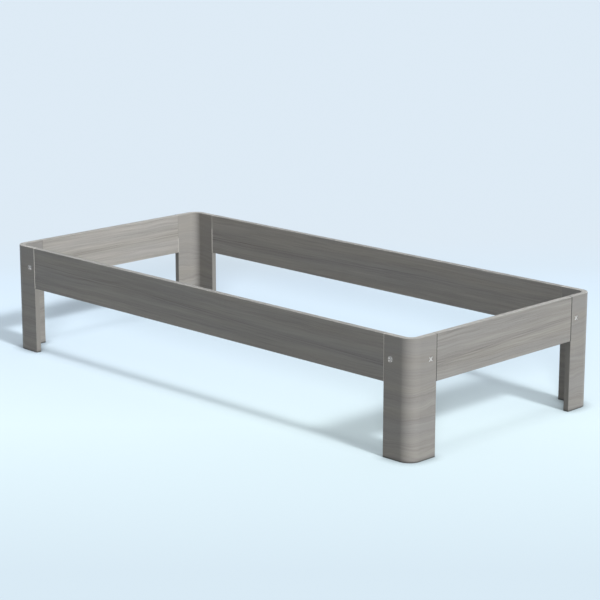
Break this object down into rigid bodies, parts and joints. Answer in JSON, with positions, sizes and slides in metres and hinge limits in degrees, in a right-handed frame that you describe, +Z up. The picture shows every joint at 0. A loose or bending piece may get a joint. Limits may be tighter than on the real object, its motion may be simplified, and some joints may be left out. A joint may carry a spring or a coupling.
{
  "type": "single bed frame",
  "caption": "Low single bed frame with bent corner legs, flush rails on edge and cam connectors, open in the middle for a mattress base.",
  "frame": {"origin": "on the floor, under the middle of the frame", "axes": "+X along the length to the foot end, +Y across to the back side rail, +Z up"},
  "size_m": [2.056, 0.947, 0.413],
  "materials": {
    "leg_laminate": "grey wood-grain laminate, satin",
    "rail_laminate": "grey wood-grain laminate, satin",
    "dowel_beech": "raw fluted beech",
    "cam_zinc": "die-cast zinc, satin nickel",
    "bolt_steel": "zinc-plated steel"
  },
  "bodies": {
    "frame": {"corner_leg_head_front": "leg_laminate", "corner_leg_foot_front": "leg_laminate", "corner_leg_foot_back": "leg_laminate", "corner_leg_head_back": "leg_laminate", "side_rail_front": "rail_laminate", "side_rail_back": "rail_laminate", "head_rail": "rail_laminate", "foot_rail": "rail_laminate", "bolt_side_rail_front_head_end": "bolt_steel", "bolt_side_rail_front_foot_end": "bolt_steel", "bolt_side_rail_back_head_end": "bolt_steel", "bolt_side_rail_back_foot_end": "bolt_steel", "bolt_head_rail_front_end": "bolt_steel", "bolt_head_rail_back_end": "bolt_steel", "bolt_foot_rail_front_end": "bolt_steel", "bolt_foot_rail_back_end": "bolt_steel", "dowel_upper_side_rail_front_head_end": "dowel_beech", "dowel_lower_side_rail_front_head_end": "dowel_beech", "dowel_upper_side_rail_front_foot_end": "dowel_beech", "dowel_lower_side_rail_front_foot_end": "dowel_beech", "dowel_upper_side_rail_back_head_end": "dowel_beech", "dowel_lower_side_rail_back_head_end": "dowel_beech", "dowel_upper_side_rail_back_foot_end": "dowel_beech", "dowel_lower_side_rail_back_foot_end": "dowel_beech", "dowel_upper_head_rail_front_end": "dowel_beech", "dowel_lower_head_rail_front_end": "dowel_beech", "dowel_upper_head_rail_back_end": "dowel_beech", "dowel_lower_head_rail_back_end": "dowel_beech", "dowel_upper_foot_rail_front_end": "dowel_beech", "dowel_lower_foot_rail_front_end": "dowel_beech", "dowel_upper_foot_rail_back_end": "dowel_beech", "dowel_lower_foot_rail_back_end": "dowel_beech"},
    "cam_body_side_rail_front_head_end": {"cam_side_rail_front_head_end": "cam_zinc"},
    "cam_body_side_rail_front_foot_end": {"cam_side_rail_front_foot_end": "cam_zinc"},
    "cam_body_side_rail_back_head_end": {"cam_side_rail_back_head_end": "cam_zinc"},
    "cam_body_side_rail_back_foot_end": {"cam_side_rail_back_foot_end": "cam_zinc"},
    "cam_body_head_rail_front_end": {"cam_head_rail_front_end": "cam_zinc"},
    "cam_body_head_rail_back_end": {"cam_head_rail_back_end": "cam_zinc"},
    "cam_body_foot_rail_front_end": {"cam_foot_rail_front_end": "cam_zinc"},
    "cam_body_foot_rail_back_end": {"cam_foot_rail_back_end": "cam_zinc"}
  },
  "joints": [
    {"name": "cam_turn_side_rail_front_head_end", "type": "hinge", "parent": "frame", "child": "cam_body_side_rail_front_head_end", "pos_m": [-0.936, -0.463, 0.334], "axis": [0, -1, 0], "range_deg": [0, 180]},
    {"name": "cam_turn_side_rail_front_foot_end", "type": "hinge", "parent": "frame", "child": "cam_body_side_rail_front_foot_end", "pos_m": [0.936, -0.463, 0.334], "axis": [0, -1, 0], "range_deg": [0, 180]},
    {"name": "cam_turn_side_rail_back_head_end", "type": "hinge", "parent": "frame", "child": "cam_body_side_rail_back_head_end", "pos_m": [-0.936, 0.463, 0.334], "axis": [0, 1, 0], "range_deg": [0, 180]},
    {"name": "cam_turn_side_rail_back_foot_end", "type": "hinge", "parent": "frame", "child": "cam_body_side_rail_back_foot_end", "pos_m": [0.936, 0.463, 0.334], "axis": [0, 1, 0], "range_deg": [0, 180]},
    {"name": "cam_turn_head_rail_front_end", "type": "hinge", "parent": "frame", "child": "cam_body_head_rail_front_end", "pos_m": [-1.0175, -0.3815, 0.334], "axis": [-1, 0, 0], "range_deg": [0, 180]},
    {"name": "cam_turn_head_rail_back_end", "type": "hinge", "parent": "frame", "child": "cam_body_head_rail_back_end", "pos_m": [-1.0175, 0.3815, 0.334], "axis": [-1, 0, 0], "range_deg": [0, 180]},
    {"name": "cam_turn_foot_rail_front_end", "type": "hinge", "parent": "frame", "child": "cam_body_foot_rail_front_end", "pos_m": [1.0175, -0.3815, 0.334], "axis": [1, 0, 0], "range_deg": [0, 180]},
    {"name": "cam_turn_foot_rail_back_end", "type": "hinge", "parent": "frame", "child": "cam_body_foot_rail_back_end", "pos_m": [1.0175, 0.3815, 0.334], "axis": [1, 0, 0], "range_deg": [0, 180]}
  ]
}
